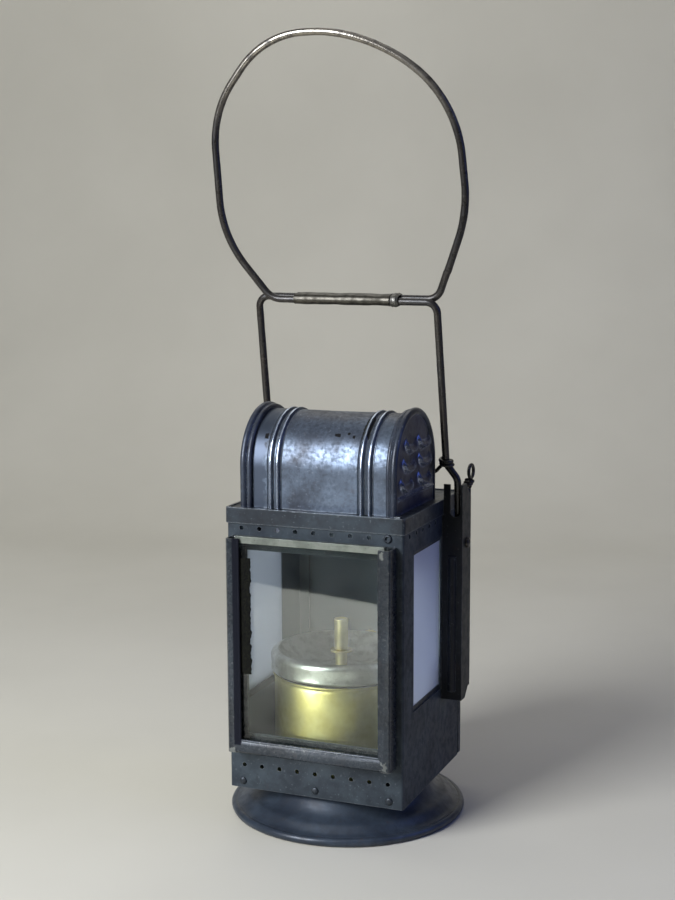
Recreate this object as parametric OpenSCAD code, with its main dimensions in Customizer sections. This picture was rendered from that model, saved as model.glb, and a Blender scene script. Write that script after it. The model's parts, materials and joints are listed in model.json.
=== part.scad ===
// Railway hand lamp with a carbide generator inside: square tinplate body, barrel hood and wire bail.
// Millimetres, +Z up. The origin is the middle of the round foot on the ground, and -Y is the front.

/* [Body] */
// Width of the tinplate body, left to right
body_w = 100; // [98:0.5:102]
// Depth of the tinplate body, front to back
body_d = 94; // [92:0.5:96]
// Height of the body's underside above the ground
body_z = 19.5; // [19:0.5:21]
// Height of the cap's top plate above the ground
cap_z = 174; // [173:0.5:176]
// Thickness of the folded tinplate
sheet = 0.8; // [0.6:0.1:0.9]

/* [Foot] */
// Radius of the foot over its rolled rim
foot_r = 65.2; // [63:0.1:68]
// Radius of the rolled rim's section
foot_roll = 2.3; // [1.9:0.1:2.6]

/* [Windows] */
// Width of the front window opening
front_window_w = 77; // [70:1:80]
// Height of the front window's lower edge
front_window_low = 51; // [48:1:60]
// Height of the front window's upper edge
front_window_high = 152; // [140:1:154]
// Height of the side windows' lower edge
side_window_low = 68; // [60:1:75]
// Height of the side windows' upper edge
side_window_high = 154; // [145:1:156]
// Width of the opal panes
opal_w = 48; // [47:1:50]
// Depth that the front glass channel stands out from the body
channel_depth = 10; // [8:0.5:11]

/* [Hood] */
// Radius of the hood over the rims of its end caps
hood_r = 32; // [30:0.5:33]
// Half of the hood's length over its end caps
hood_half = 45; // [43:0.5:46]
// Distance of the hood's centre line in front of the foot's centre
hood_forward = 12.5; // [11:0.5:14]
// Height of the straight sides below the hood's arch
hood_straight = 21.5; // [18:0.5:24]

/* [Bail] */
// Diameter of the bail wire
bail_wire_d = 4; // [3.6:0.1:4.2]
// Forward lean of the bail as it stands at rest, in degrees
bail_lean = 10; // [9:0.5:11]
// Distance from the pivot up to the cross grip
grip_height = 135.5; // [125:0.5:145]
// Distance from the pivot up to the top of the bail
bail_height = 275; // [272:0.5:280]
// Length of the sheet sleeve on the cross grip
sleeve_len = 55; // [40:1:60]

/* [Generator] */
// Radius of the brass carbide canister
canister_r = 37; // [34:0.5:37.5]
// Height of the rim of the generator's lid
lid_z = 91.5; // [90:0.5:93]
// Height of the mouth of the burner tube
burner_z = 107.8; // [106:0.2:112]

/* [Hidden] */
$fn = 64;

// Gap between pieces that only lie against each other
lie = 0.05;
// Radial clearance of the turning and sliding fits
run = 0.06;
// Front and back faces of the body, and its side faces
front_y = -body_d / 2;
rear_y = body_d / 2;
side_x = body_w / 2;
// Rows of round air vents
vent_d = 2.4;
vent_pitch = 10.375;
vent_high_z = 163.6;
vent_low_z = 32.5;
side_vent_y = -37.7;
// Side windows: front edge and rear edge
side_window_front = -31;
side_window_rear = 14.5;
// Rear door opening in the body
door_open_half = 43;
door_open_low = 28;
door_open_high = 158;
// Front channel
channel_half = 46.4;
channel_low = 42.5;
channel_high = 159.5;
channel_lip = 7;
lip_in = 1.4;
// Front glass
pane = 2;
glass_half = 44.6;
glass_high = 160;
binding_h = 3.2;
// Cap
skirt_h = 8;
cap_rim = 1.6;
// Hood: arch centre, barrel radius and beads
hood_y = -hood_forward;
spring_z = cap_z + hood_straight;
barrel_r = hood_r - 3.5;
bead_x = [-26.8, -22.8, 24.6, 29.2];
bead_r = 1.3;
// The hood's left end stands this much nearer the middle
hood_left_in = 1.2;
// Bail ears, the channels that the bail's legs stand in
ear_front = 15;
ear_deep = 15;
ear_out = 11.8;
ear_low = 62;
ear_high = 183;
// Bail pivot and the bail's own outline, measured from the pivot
pivot_y = 22.6;
pivot_z = 150;
wire_r = bail_wire_d / 2;
leg_out = 57.6;
leg_in = 52.3;
jog_low = 36.5;
jog_high = 45;
strand = 2.1;
loop_left = -68.8;
loop_right = 70;
// Rear door hinge
hinge_x = side_x + 3;
hinge_y = rear_y + 2.8;
pin_r = 1.3;
knuckle_r = 2.5;
body_spans = [[60.8, 76], [157.6, 175.4]];
door_spans = [[76.4, 91.6], [142, 157.2]];
door_depth = 3.8;
door_low = 19.9;
door_high = 165;
// Generator: its axis, and the seams of its pieces
gen_x = -1.6;
gen_y = -5;
floor_z = 21.3;
canister_low = floor_z + 0.4;
canister_high = 79;
gasket_h = 1;
lid_low = canister_high + gasket_h + 2 * lie;
lid_r = 39;
dish_r = 34.6;
dish_low = 79.6;
burner_r = 3.9;
valve_z = 84.4;
valve_r = 1.6;

function unit(v) = v / norm(v);
function reversed(p) = [for (i = [len(p) - 1 : -1 : 0]) p[i]];
function arc(c, r, from, to, n = 8) =
    [for (i = [0 : n]) let (a = from + (to - from) * i / n) c + r * [cos(a), sin(a)]];

// Unit normal on the left of the line from p to q
function left_of(p, q) = let (d = unit(q - p)) [-d[1], d[0]];
// A path moved to its left by t, with mitred corners
function beside(p, t) = [for (i = [0 : len(p) - 1])
    let (a = left_of(p[max(i - 1, 0)], p[max(i, 1)]),
         b = left_of(p[min(i, len(p) - 2)], p[min(i + 1, len(p) - 1)]))
    p[i] + t * (a + b) / (1 + a * b)];

// Section of a bent sheet of thickness t that lies on the left of its path
module strip(path, t) {
    polygon(concat(path, reversed(beside(path, t))));
}

// Square with rounded corners, centred
module rounded(w, d, r) {
    square([w - 2 * r, d], center = true);
    square([w, d - 2 * r], center = true);
    for (x = [-1, 1], y = [-1, 1])
        translate([x * (w / 2 - r), y * (d / 2 - r)])
            circle(r);
}

// Upright wall round a rounded rectangle
module ring_wall(w, d, r, t, h) {
    linear_extrude(h)
        difference() {
            rounded(w, d, r);
            rounded(w - 2 * t, d - 2 * t, r - t);
        }
}

// Frame with its third axis along z and its second along y, placed at o
module frame(o, x, y, z) {
    multmatrix([[x[0], y[0], z[0], o[0]],
                [x[1], y[1], z[1], o[1]],
                [x[2], y[2], z[2], o[2]],
                [0, 0, 0, 1]])
        children();
}

// Straight length of wire from p to q
module rod(p, q, r) {
    z = unit(q - p);
    x = unit(cross(abs(z[0]) < 0.7 ? [1, 0, 0] : [0, 1, 0], z));
    frame(p, x, cross(z, x), z)
        cylinder(h = norm(q - p), r = r);
}

// Length that a bend of radius b takes from each leg of the corner p, q, s
function set_back(p, q, s, b) = b * tan(acos(unit(q - p) * unit(s - q)) / 2);

// Bend of the wire round the corner q between p and s
module bend(p, q, s, b, r) {
    d = unit(q - p);
    n = unit(cross(d, unit(s - q)));
    inward = cross(n, d);
    start = q - d * set_back(p, q, s, b);
    frame(start + inward * b, -inward, d, n)
        rotate_extrude(angle = acos(d * unit(s - q)))
            translate([b, 0])
                circle(r);
}

// Wire of radius r through corner points, bent at each inner corner to its radius. The straight
// lengths are a hair thinner than the bends and run a little way into them.
module wire(points, bends, r) {
    $fn = 24;
    last = len(points) - 1;
    cut = [for (i = [0 : last]) i == 0 || i == last ? 0
        : set_back(points[i - 1], points[i], points[i + 1], bends[i]) - sqrt(0.016 * bends[i])];
    for (i = [0 : last - 1]) {
        along = unit(points[i + 1] - points[i]);
        rod(points[i] + along * cut[i], points[i + 1] - along * cut[i + 1], r - 0.015);
    }
    for (i = [1 : last - 1])
        bend(points[i - 1], points[i], points[i + 1], bends[i], r);
}

// Places children, drawn upright from the pivot, on the leaning bail
module on_bail() {
    translate([0, pivot_y, pivot_z])
        rotate([bail_lean, 0, 0])
            children();
}

// Spun foot: a flared dish with a stepped rib and a rolled rim that is flat underneath
module foot_dish() {
    skin = concat(
        [[foot_r - foot_roll - 1.2, 0]],
        arc([foot_r - foot_roll, foot_roll], foot_roll, 270, 470, 16),
        [[foot_r - 4.4, 5.2], [foot_r - 6.4, 6.5]],
        arc([foot_r - 9.9, 8.4], 2.2, 10, 100, 6),
        [[foot_r - 11.2, 11.2]],
        arc([foot_r + 5.7, 47.5], 40, 244.5, 227, 8),
        [[42.6, body_z - lie], [28, body_z - lie]]);
    color("#3d444c")
        rotate_extrude()
            strip(skin, 0.9);
}

module round_row(count, pitch, r, depth) {
    for (i = [0 : count - 1])
        translate([i * pitch, 0, 0])
            rotate([-90, 0, 0])
                cylinder(h = depth, r = r, center = true);
}

// Folded tinplate box, open at the top, with its windows, vents and rear opening
module body_shell() {
    cut = 6;
    color("#3b4045")
        difference() {
            translate([0, 0, body_z])
                ring_wall(body_w, body_d, 1.4, sheet, cap_z - sheet - 0.1 - body_z);
            translate([-front_window_w / 2, front_y - cut / 2, front_window_low])
                cube([front_window_w, cut, front_window_high - front_window_low]);
            for (side = [-1, 1])
                translate([side * side_x - cut / 2, side_window_front, side_window_low])
                    cube([cut, side_window_rear - side_window_front, side_window_high - side_window_low]);
            translate([-door_open_half, rear_y - cut / 2, door_open_low])
                cube([2 * door_open_half, cut, door_open_high - door_open_low]);
            translate([-4 * vent_pitch, front_y, vent_high_z])
                round_row(8, vent_pitch, vent_d / 2, cut);
            translate([-4 * vent_pitch, front_y, vent_low_z])
                round_row(9, vent_pitch, vent_d / 2, cut);
            for (side = [-1, 1])
                translate([side * side_x, side_vent_y, vent_high_z])
                    rotate([0, 0, 90])
                        round_row(5, vent_pitch, vent_d / 2, cut);
        }
}

// Floor of the body, with its edge turned down inside the walls
module body_floor() {
    w = body_w - 2 * sheet - 2 * lie;
    d = body_d - 2 * sheet - 2 * lie;
    color("#3b4045")
        translate([0, 0, body_z + 0.1]) {
            translate([0, 0, floor_z - body_z - 0.1 - sheet])
                linear_extrude(sheet)
                    rounded(w, d, 0.5);
            ring_wall(w, d, 0.9, 0.7, floor_z - body_z - 0.2);
        }
}

// One leg of the front channel, a folded U that holds the edge of the glass. The opening faces +X.
module channel_section() {
    r = 0.9;
    strip([[channel_lip, lip_in - channel_depth], [channel_lip - 3, -channel_depth], [r, -channel_depth],
        [0, r - channel_depth], [0, -sheet], [sheet / 2, 0], [channel_lip + 0.6, 0]], -sheet);
}

// Picture-frame channel on the front, open at the top so that the glass draws up
module front_channel() {
    roll_r = 0.75;
    roll_x = channel_half - channel_lip + 0.4;
    roll_z = channel_low + channel_lip - 0.4;
    notch = 1.2;
    color("#42474c")
        translate([0, front_y - lie, 0]) {
            for (side = [0, 1])
                mirror([side, 0, 0])
                    translate([-channel_half, 0, channel_low])
                        linear_extrude(channel_high - channel_low)
                            channel_section();
            translate([notch - channel_half, 0, channel_low])
                rotate([90, 0, 90])
                    linear_extrude(2 * (channel_half - notch))
                        mirror([1, -1, 0])
                            channel_section();
            // Rolled inner edge
            for (x = [-roll_x, roll_x]) {
                translate([x, lip_in + 0.3 - channel_depth, roll_z])
                    cylinder(h = channel_high - roll_z - 0.5, r = roll_r);
                translate([x, lip_in + 0.3 - channel_depth, roll_z])
                    sphere(roll_r + 0.06);
            }
            translate([-roll_x, lip_in + 0.3 - channel_depth, roll_z])
                rotate([0, 90, 0])
                    cylinder(h = 2 * roll_x, r = roll_r);
        }
}

module front_glass() {
    low = channel_low + sheet + 0.3;
    color("#a9b7b5", 0.35)
        translate([-glass_half, front_y - channel_depth + 3.4, low])
            cube([2 * glass_half, pane, glass_high - low]);
}

// Strip of felt tucked between the channel's left lip and the glass
module glass_packing() {
    thick = 0.7;
    color("#232323")
        translate([-43, front_y - channel_depth + 3.4 - lie - thick, 86])
            cube([9.8, thick, 63]);
}

// Tin strip folded over the top edge of the front glass
module glass_binding() {
    half = glass_half - 2.4;
    y = front_y - channel_depth + 3.4;
    color("#a3a39a")
        translate([-half, 0, 0])
            rotate([90, 0, 90])
                linear_extrude(2 * half)
                    strip([[y - lie, glass_high - binding_h], [y - lie, glass_high + lie],
                        [y + pane + lie, glass_high + lie], [y + pane + lie, glass_high - binding_h]], 0.5);
}

// Opal pane inside a side wall, with its front edge at y
module opal_pane(side, y) {
    x = side_x - sheet - 0.6 - pane;
    color("#e9ebe6")
        translate([side > 0 ? x : -x - pane, y, side_window_low - 2.2])
            cube([pane, opal_w, side_window_high - side_window_low + 4.4]);
}

module left_opal_pane() {
    opal_pane(-1, side_window_front - 2);
}

module right_opal_pane() {
    opal_pane(1, side_window_front - 2);
}

// Two folded rails inside a side wall that the opal pane slides between
module pane_holder(side) {
    from = -37;
    long = 64;
    back = side_x - sheet - lie;
    rail = [[0, 5.2], [0, 0], [-3.9, 0], [-3.9, 4]];
    color("#4a4d4f")
        mirror([side > 0 ? 0 : 1, 0, 0])
            for (end = [0, 1])
                translate([back, from, end == 0 ? side_window_low - 2.75 : side_window_high + 3.2])
                    mirror([0, 0, end])
                        rotate([-90, 0, 0])
                            linear_extrude(long)
                                mirror([0, 1, 0])
                                strip(rail, -0.5);
}

module left_pane_holder() {
    pane_holder(-1);
}

module right_pane_holder() {
    pane_holder(1);
}

// Shallow cap with a skirt over the walls and a raised rim, open under the hood
module cap() {
    w = body_w + 1.6;
    d = body_d + 1.6;
    wall = 0.7;
    color("#3f454b")
        difference() {
            union() {
                translate([0, 0, cap_z - skirt_h])
                    ring_wall(w, d, 1.8, wall, skirt_h);
                translate([0, 0, cap_z - sheet])
                    linear_extrude(sheet)
                        rounded(w, d, 1.8);
                translate([0, 0, cap_z - lie])
                    ring_wall(w, d, 1.8, cap_rim, 0.6);
                // Solder lug at the front right corner
                translate([side_x - 5.2, front_y - 0.3, cap_z])
                    cube([3.4, 3.2, 1.4]);
            }
            translate([-hood_half + 9, hood_y - barrel_r + 5, cap_z - 5])
                cube([2 * hood_half - 18, 2 * barrel_r - 10, 10]);
        }
}

// Carries a section, drawn with its radius along X and its place along the hood along Y, over the arch
module over_arch() {
    translate([0, hood_y, spring_z]) {
        rotate([0, 90, 0])
            rotate([0, 0, 90])
                rotate_extrude(angle = 180)
                    children();
        for (side = [0, 1])
            mirror([0, side, 0])
                translate([0, 0, -hood_straight + 0.1])
                    linear_extrude(hood_straight - 0.1 + 0.001)
                        mirror([1, 0, 0])
                            rotate([0, 0, 90])
                                children();
    }
}

// Barrel of the hood with two pairs of rolled beads
module hood_barrel() {
    half = hood_half - 3.6;
    color("#4a525a")
        over_arch() {
            translate([barrel_r - sheet, hood_left_in - half])
                square([sheet, 2 * half - hood_left_in]);
            for (x = bead_x)
                intersection() {
                    translate([barrel_r - 0.2, x])
                        circle(bead_r);
                    translate([barrel_r - sheet, x - bead_r])
                        square([sheet + bead_r, 2 * bead_r]);
                }
        }
}

// Outline of the arch seen from its end, standing on the cap
module arch_outline(r) {
    intersection() {
        circle(r);
        translate([-r, -hood_straight + 0.1])
            square([2 * r, r + hood_straight]);
    }
    translate([-r, -hood_straight + 0.1])
        square([2 * r, hood_straight - 0.1]);
}

// Crescent scoop pressed out of an end plate, seen from the end
module scoop(y, z) {
    translate([0, y, z])
        rotate([90, 0, 90])
            linear_extrude(1.4)
                difference() {
                    circle(6.2);
                    translate([1.5, 2.8])
                        circle(5.9);
                }
}

// End cap of the hood for +X: a band round the barrel with a rolled rim, and a louvred plate
module hood_end() {
    plate = hood_half - 3.2;
    scoops = [[-19, 209.8], [1.4, 209.8], [-23, 200], [2.4, 200], [-27, 190], [1, 190]];
    over_arch() {
        translate([barrel_r + lie, hood_half - 6.2])
            square([0.8, 5]);
        translate([barrel_r + 1.3, hood_half - 5.2])
            circle(1.3);
        translate([hood_r - 1.9, hood_half - 1.9])
            circle(1.9);
    }
    translate([plate, hood_y, spring_z])
        rotate([90, 0, 90])
            linear_extrude(sheet)
                arch_outline(barrel_r + 0.6);
    translate([plate + sheet, hood_y - barrel_r, cap_z + 8.6])
        rotate([-90, 0, 0])
            cylinder(h = 2 * barrel_r, r = 0.9);
    for (at = scoops)
        translate([plate + sheet - 0.2, 0, 0])
            scoop(at[0], at[1]);
}

module hood_left_cap() {
    color("#40474f")
        translate([hood_left_in, 0, 0])
            mirror([1, 0, 0])
                hood_end();
}

module hood_right_cap() {
    color("#40474f")
        hood_end();
}

// Curved plate inside the hood that keeps gusts off the flame
module smoke_baffle() {
    r = 17;
    half = 30;
    color("#35383a")
        translate([0, hood_y, cap_z + 16]) {
            rotate([0, 90, 0])
                rotate([0, 0, 120])
                    rotate_extrude(angle = 120)
                        translate([r, -half])
                            square([0.8, 2 * half]);
            for (side = [-1, 1], end = [-1, 1])
                translate([end * (half - 4) - 2.5, side * (r * cos(30) + 0.1) - 0.4, -16 + 0.1])
                    cube([5, 0.8, 16 + r / 2]);
        }
}

// Head of a rivet on the front, from a sphere of radius r whose middle lies drop behind the face
module rivet_head(x, z, r, drop) {
    translate([x, front_y - lie, z])
        rotate([90, 0, 0])
            intersection() {
                translate([0, 0, -drop])
                    sphere(r);
                cylinder(h = 4, r = 3);
            }
}

// Three round rivets low on the front, and a tubular one at the end of the upper row of vents
module body_rivets() {
    end_x = 4 * vent_pitch;
    color("#5a5f63") {
        for (x = [-42.4, 0, 42.2])
            rivet_head(x, 23.4, 2.6, 1.6);
        difference() {
            rivet_head(end_x, vent_high_z, 3.5, 2.6);
            translate([end_x, front_y, vent_high_z])
                rotate([90, 0, 0])
                    cylinder(h = 4, r = 1.05, center = true);
        }
    }
}

// Folded channel on a side wall, drawn for +X. Its front has a notch for the leg of the bail.
module bail_ear() {
    in = side_x + lie;
    out = side_x + ear_out;
    back = ear_front + ear_deep;
    difference() {
        union() {
            translate([0, 0, ear_low])
                linear_extrude(ear_high - ear_low)
                    strip([[in, ear_front + 12], [in, ear_front], [out, ear_front], [out, back]], sheet);
            // Stiffening bead up the front
            translate([side_x + 6, ear_front + 0.3, ear_low + 5])
                cylinder(h = pivot_z - ear_low - 12, r = 2.4);
        }
        // Bore for the end of the bail
        translate([out - 2, pivot_y, pivot_z])
            rotate([0, 90, 0])
                cylinder(h = 4, r = wire_r + run);
        // Notch for the leg
        translate([leg_out, ear_front, pivot_z + 18])
            rotate([90, 0, 0])
                cylinder(h = 8, r = wire_r + 0.9, center = true);
        translate([leg_out - wire_r - 0.9, ear_front - 4, pivot_z + 18])
            cube([2 * wire_r + 1.8, 8, ear_high - pivot_z]);
        // Room for the cap's skirt
        translate([side_x - 1, ear_front - 1, cap_z - skirt_h - lie])
            cube([1.85 + lie, ear_deep, ear_high - cap_z + skirt_h + 1]);
        // The bead stays out of the leg's space
        translate([side_x + 0.9, ear_front + sheet, ear_low])
            cube([ear_out - 1.8, 4, pivot_z - ear_low]);
        // Slanted top and bottom of the outer wall
        translate([out - 2, back, ear_high])
            rotate([45, 0, 0])
                cube([4, 12, 12], center = true);
        translate([out - 2, back, ear_low])
            rotate([45, 0, 0])
                cube([4, 12, 12], center = true);
    }
}

module left_bail_ear() {
    color("#373b3f")
        mirror([1, 0, 0])
            bail_ear();
}

module right_bail_ear() {
    color("#373b3f")
        bail_ear();
}

// Bail bent from one wire, whose two ends cross each other as a double grip
bail_points = [
    [-side_x - ear_out - 1.6, 0, 0],
    [-leg_out, 0, 0],
    [-leg_out, 0, jog_low],
    [-leg_in, 0, jog_high],
    [-leg_in, strand, grip_height + 0.6],
    [51.5, strand, grip_height],
    [loop_right, strand, 181.3],
    [67.4, 1.2, 236.4],
    [21.4, 0.4, bail_height],
    [-35.8, -0.4, bail_height],
    [loop_left, -1.3, 236.3],
    [loop_left, -strand, 169.7],
    [-42.7, -strand, grip_height],
    [leg_in, -strand, grip_height - 0.8],
    [leg_in, 0, jog_high],
    [leg_out, 0, jog_low],
    [leg_out, 0, 0],
    [side_x + ear_out + 1.6, 0, 0]];
bail_bends = [0, 3.2, 8, 8, 6, 8, 70, 60, 88, 50, 55, 60, 12, 6, 8, 8, 3.2, 0];

module bail_wire() {
    color("#34383c")
        on_bail() {
            wire(bail_points, bail_bends, wire_r);
            // Heads that keep the ends in the ears
            for (side = [-1, 1])
                translate([side * (side_x + ear_out + 0.9), 0, 0])
                    rotate([0, 90, 0])
                        cylinder(h = 1.3, r = wire_r + 0.9, center = true);
        }
}

// Oval of a given wall round the two strands of the grip
module grip_oval(r) {
    square([2 * strand, 2 * r], center = true);
    for (side = [-1, 1])
        translate([side * strand, 0])
            circle(r);
}

// Sheet sleeve closed round both strands of the grip
module grip_sleeve() {
    color("#8d8468")
        on_bail()
            translate([-28.6, 0, grip_height - 0.1])
                rotate([90, 0, 90])
                    linear_extrude(sleeve_len)
                        difference() {
                            grip_oval(wire_r + 1);
                            grip_oval(wire_r + 0.6);
                        }
}

// Solder run round both strands at the end of the sleeve
module grip_splice() {
    color("#6d6c66")
        on_bail()
            translate([-28.6 + sleeve_len + 0.3, 0, grip_height - 0.2])
                rotate([90, 0, 90])
                    linear_extrude(4.6)
                        difference() {
                            grip_oval(wire_r + 1.3);
                            grip_oval(wire_r + 0.5);
                        }
}

// Thin wire tied from leg to leg, which rests on the back of the hood
module bail_tie_wire() {
    r = 1.2;
    eye = wire_r + r + 0.5;
    up = 46;
    drop = 37;
    behind = 5.9;
    color("#2e3134")
        on_bail() {
            for (side = [-1, 1])
                translate([side * leg_in, 0, up])
                    rotate_extrude()
                        translate([eye, 0])
                            circle(r);
            wire([[-leg_in, eye, up], [-leg_in + 8, behind, drop], [leg_in - 8, behind, drop],
                [leg_in, eye, up]], [0, 6, 6, 0], r);
        }
}

// Rear door, a shallow pressed tray over the whole back
module rear_door() {
    left = -side_x + 1;
    right = side_x;
    w = right - left;
    h = door_high - door_low;
    skin = 0.8;
    color("#3a3f43")
        translate([left, rear_y + 0.4, door_low])
            difference() {
                cube([w, door_depth, h]);
                translate([skin, -1, skin])
                    cube([w - 2 * skin, door_depth + 1 - skin, h - 2 * skin]);
                // Pressed border line
                for (x = [8, w - 9])
                    translate([x, door_depth - 0.3, 8])
                        cube([1, 1, h - 16]);
                for (z = [8, h - 9])
                    translate([8, door_depth - 0.3, z])
                        cube([w - 16, 1, 1]);
            }
}

// Folded finger pull on the free edge of the rear door
module door_pull() {
    color("#4a4d50")
        translate([-side_x + 0.9, rear_y + 0.4 + door_depth + lie, 96])
            linear_extrude(16)
                strip([[10, 0], [2, 0], [-3, 0.6], [-6.2, 3.2]], -0.9);
}

// Hinge knuckle between two heights, with a tongue towards the plate that carries it
module knuckle(low, high, tongue) {
    difference() {
        union() {
            translate([hinge_x, hinge_y, low])
                cylinder(h = high - low, r = knuckle_r);
            translate([tongue[0], tongue[1], low])
                cube([tongue[2], tongue[3], high - low]);
        }
        translate([hinge_x, hinge_y, low - 1])
            cylinder(h = high - low + 2, r = pin_r + run);
    }
}

// Knuckles soldered to the edge of the rear door
module door_knuckles() {
    color("#44484c")
        for (span = door_spans)
            knuckle(span[0], span[1], [side_x + lie, hinge_y - 0.8, 2, 2.2]);
}

// Knuckles with leaves soldered to the right side wall, below the cap's skirt
module body_knuckles() {
    leaf = 12;
    leaf_top = cap_z - skirt_h - lie;
    color("#44484c")
        for (span = body_spans)
            union() {
                knuckle(span[0], span[1], [side_x + lie, hinge_y - 1.6, 1.4, 1]);
                translate([side_x + lie, hinge_y - leaf, span[0]])
                    cube([0.8, leaf - 0.8, min(span[1], leaf_top) - span[0]]);
            }
}

// Hinge pin of wire with an eye at its top to draw it out by
module hinge_pin() {
    eye = 3.7;
    eye_z = 185.1;
    lean = 2.6;
    low = 58;
    top = body_spans[1][1];
    color("#34383c")
        translate([hinge_x, hinge_y, 0]) {
            translate([0, 0, low])
                cylinder(h = top + 1.6 - low, r = pin_r);
            rod([0, 0, top + 1.2], [lean, 0, eye_z - eye], pin_r - 0.2);
            translate([lean, 0, eye_z])
                rotate([0, 90, -4])
                    rotate_extrude()
                        translate([eye, 0])
                            circle(0.95);
            // Twisted close of the eye, which rests on the top knuckle
            translate([0, 0, top + lie])
                cylinder(h = 1.8, r = pin_r + 0.9);
            translate([lean / 2, 0, top + 3.2])
                sphere(pin_r + 0.9);
        }
}

// Raised ring on the floor that the generator stands in
module generator_seat() {
    color("#44484a")
        translate([gen_x, gen_y, floor_z + lie])
            difference() {
                cylinder(h = 4, r = canister_r + 1.5);
                translate([0, 0, -1])
                    cylinder(h = 6, r = canister_r + 0.7);
            }
}

module on_generator(z) {
    translate([gen_x, gen_y, z])
        children();
}

// Spun brass canister for the carbide, open at the top
module carbide_canister() {
    r = canister_r;
    skin = concat(
        [[0, 0.8], [r - 5, 0.8]],
        arc([r - 2.6, 2.2], 2.2, 270, 360, 5),
        [[r, 40], [r, canister_high - canister_low - 3.8]],
        arc([r + 0.9, canister_high - canister_low - 2.2], 1.4, 210, 90, 6));
    color("#9c8440")
        on_generator(canister_low)
            rotate_extrude()
                strip(skin, 0.8);
}

module lid_gasket() {
    color("#26282a")
        on_generator(canister_high + lie)
            difference() {
                cylinder(h = gasket_h, r = lid_r - 2.4);
                translate([0, 0, -1])
                    cylinder(h = gasket_h + 2, r = lid_r - 6);
            }
}

// Tinned lid of the generator: a rim band, a rounded shoulder and a dished top
module generator_lid() {
    skin = concat(
        [[lid_r - 7, lid_low + 0.8], [lid_r - 2.2, lid_low + 0.8], [lid_r - 1.2, lid_low]],
        arc([lid_r - 1.6, lid_low + 1.6], 1.6, 290, 370, 4),
        [[lid_r - 0.4, lid_low + 3.4], [lid_r - 0.2, lid_z - 4.4]],
        arc([lid_r - 3.4, lid_z - 3.2], 3.2, 0, 78, 6),
        [[dish_r + 0.4, lid_z], [dish_r - 0.6, lid_z - 0.8], [dish_r - 2.4, lid_z - 3.2]],
        arc([17, dish_low + 15], 15, 318, 270, 6),
        [[burner_r + 0.4, dish_low + 0.9]]);
    color("#a4a39b")
        on_generator(0)
            difference() {
                union() {
                    rotate_extrude()
                        strip(skin, 0.8);
                    // Gland of the drip valve
                    translate([0, lid_r - 3, valve_z])
                        rotate([-90, 0, 0])
                            cylinder(h = 5, r = 2.9);
                }
                translate([0, lid_r - 6, valve_z])
                    rotate([-90, 0, 0])
                        cylinder(h = 12, r = valve_r + run);
            }
}

module water_cup() {
    color("#8f8f88")
        on_generator(56)
            difference() {
                cylinder(h = 18, r = 30);
                translate([0, 0, 0.8])
                    cylinder(h = 20, r = 29.2);
                translate([0, 0, -1])
                    cylinder(h = 4, r = burner_r + 0.3);
                translate([14, 0, -1])
                    cylinder(h = 4, r = 1.9);
            }
}

module drip_tube() {
    color("#9c8440")
        on_generator(46)
            translate([14, 0, 0])
                difference() {
                    cylinder(h = 20, r = 1.8);
                    translate([0, 0, -1])
                        cylinder(h = 22, r = 1.1);
                }
}

// Drip valve: a spindle along Y with a milled knob behind the lid
module drip_valve() {
    knob_r = 5.6;
    color("#9c8440")
        on_generator(0)
            translate([0, lid_r - 5, valve_z])
                rotate([-90, 0, 0]) {
                    cylinder(h = 10, r = valve_r);
                    difference() {
                        translate([0, 0, 7.6])
                            cylinder(h = 4.4, r = knob_r);
                        for (i = [0 : 15])
                            rotate([0, 0, i * 22.5])
                                translate([knob_r + 0.25, 0, 7])
                                    cylinder(h = 6, r = 0.6);
                    }
                }
}

// Basket that holds the carbide, with holes in its base for the water
module carbide_basket() {
    r = 30;
    color("#7d7f7c")
        on_generator(24)
            difference() {
                cylinder(h = 26, r = r);
                translate([0, 0, 0.8])
                    cylinder(h = 30, r = r - 0.8);
                for (i = [0 : 11])
                    rotate([0, 0, i * 30])
                        translate([22, 0, -1])
                            cylinder(h = 4, r = 1.5);
                for (i = [0 : 5])
                    rotate([0, 0, i * 60])
                        translate([11, 0, -1])
                            cylinder(h = 4, r = 1.5);
            }
}

module felt_filter() {
    color("#b9b2a0")
        on_generator(50.4)
            difference() {
                cylinder(h = 4, r = 31);
                translate([0, 0, -1])
                    cylinder(h = 6, r = burner_r + 0.4);
                translate([14, 0, -1])
                    cylinder(h = 6, r = 2);
            }
}

// Burner tube: a wider mouth above the washer, a narrower pipe below it
module burner_tube() {
    skin = concat([[3.4, 54.8 - burner_z], [3.4, -17.4], [burner_r, -17], [burner_r, -1.2]],
        arc([burner_r - 0.6, -0.7], 0.7, 0, 110, 4));
    color("#b09048")
        on_generator(burner_z)
            rotate_extrude()
                strip(skin, 0.8);
}

module burner_washer() {
    color("#8c7f55")
        on_generator(burner_z - 18.5)
            difference() {
                cylinder(h = 1, r = 6.2);
                translate([0, 0, -1])
                    cylinder(h = 3, r = 3.4 + lie);
            }
}

// Steatite tip in the mouth of the burner tube
module burner_tip() {
    color("#cfc8b4")
        on_generator(burner_z - 9.2)
            difference() {
                union() {
                    cylinder(h = 7.4, r = 2.5);
                    translate([0, 0, 7.3])
                        cylinder(h = 1, r = 1.9);
                }
                translate([0, 0, -1])
                    cylinder(h = 10, r = 0.5);
            }
}

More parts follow.
